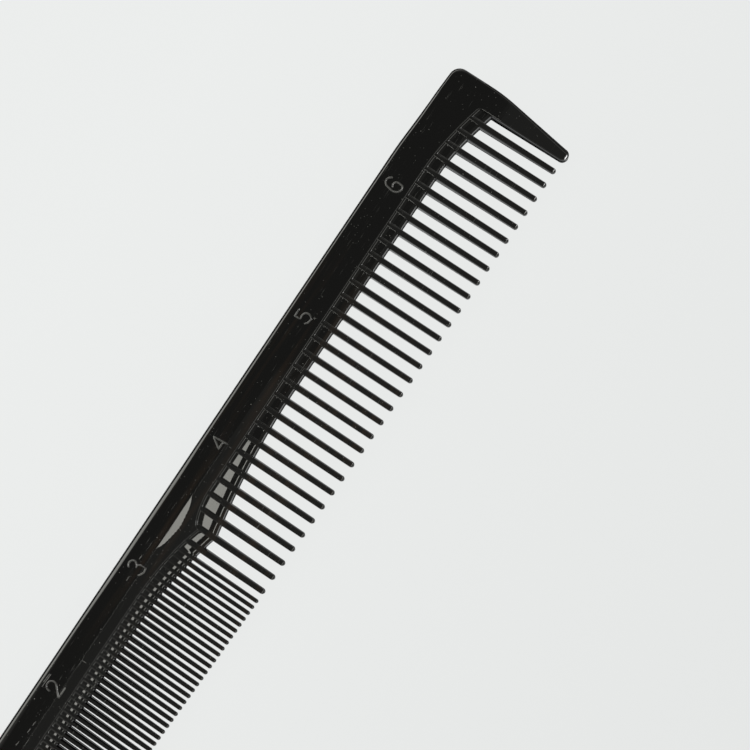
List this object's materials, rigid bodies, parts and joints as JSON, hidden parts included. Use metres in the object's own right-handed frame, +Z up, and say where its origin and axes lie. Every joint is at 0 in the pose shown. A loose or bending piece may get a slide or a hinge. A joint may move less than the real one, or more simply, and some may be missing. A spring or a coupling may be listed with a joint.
{
  "type": "barber styling comb",
  "caption": "Flat one-piece barber comb for cutting and styling hair: wide teeth on one half, fine teeth on the other, a guard at each end and inch numerals along the back.",
  "frame": {"origin": "under the middle of the comb's box, on the flat face it lies on", "axes": "+X along the comb towards the wide-toothed end, +Y from the tooth tips towards the back edge, +Z up out of the cheek that carries the numerals"},
  "size_m": [0.1778, 0.0258, 0.0033],
  "materials": {
    "black_plastic": "glossy injection-moulded black plastic with fine handling scratches"
  },
  "bodies": {
    "root": {"spine": "black_plastic", "coarse_end_guard": "black_plastic", "fine_end_guard": "black_plastic", "coarse_root_web": "black_plastic", "coarse_tooth_01": "black_plastic", "coarse_tooth_02": "black_plastic", "coarse_tooth_03": "black_plastic", "coarse_tooth_04": "black_plastic", "coarse_tooth_05": "black_plastic", "coarse_tooth_06": "black_plastic", "coarse_tooth_07": "black_plastic", "coarse_tooth_08": "black_plastic", "coarse_tooth_09": "black_plastic", "coarse_tooth_10": "black_plastic", "coarse_tooth_11": "black_plastic", "coarse_tooth_12": "black_plastic", "coarse_tooth_13": "black_plastic", "coarse_tooth_14": "black_plastic", "coarse_tooth_15": "black_plastic", "coarse_tooth_16": "black_plastic", "coarse_tooth_17": "black_plastic", "coarse_tooth_18": "black_plastic", "coarse_tooth_19": "black_plastic", "coarse_tooth_20": "black_plastic", "coarse_tooth_21": "black_plastic", "coarse_tooth_22": "black_plastic", "coarse_tooth_23": "black_plastic", "coarse_tooth_24": "black_plastic", "coarse_tooth_25": "black_plastic", "coarse_tooth_26": "black_plastic", "coarse_tooth_27": "black_plastic", "coarse_tooth_28": "black_plastic", "coarse_tooth_29": "black_plastic", "coarse_tooth_30": "black_plastic", "coarse_tooth_31": "black_plastic", "fine_rake_01": "black_plastic", "fine_rake_02": "black_plastic", "fine_rake_03": "black_plastic", "fine_rake_04": "black_plastic", "fine_rake_05": "black_plastic", "fine_rake_06": "black_plastic", "fine_rake_07": "black_plastic", "fine_rake_08": "black_plastic", "fine_rake_09": "black_plastic", "fine_rake_10": "black_plastic", "fine_rake_11": "black_plastic", "fine_rake_12": "black_plastic", "fine_rake_13": "black_plastic", "numeral_1": "black_plastic", "numeral_2": "black_plastic", "numeral_3": "black_plastic", "numeral_4": "black_plastic", "numeral_5": "black_plastic", "numeral_6": "black_plastic"}
  },
  "joints": []
}
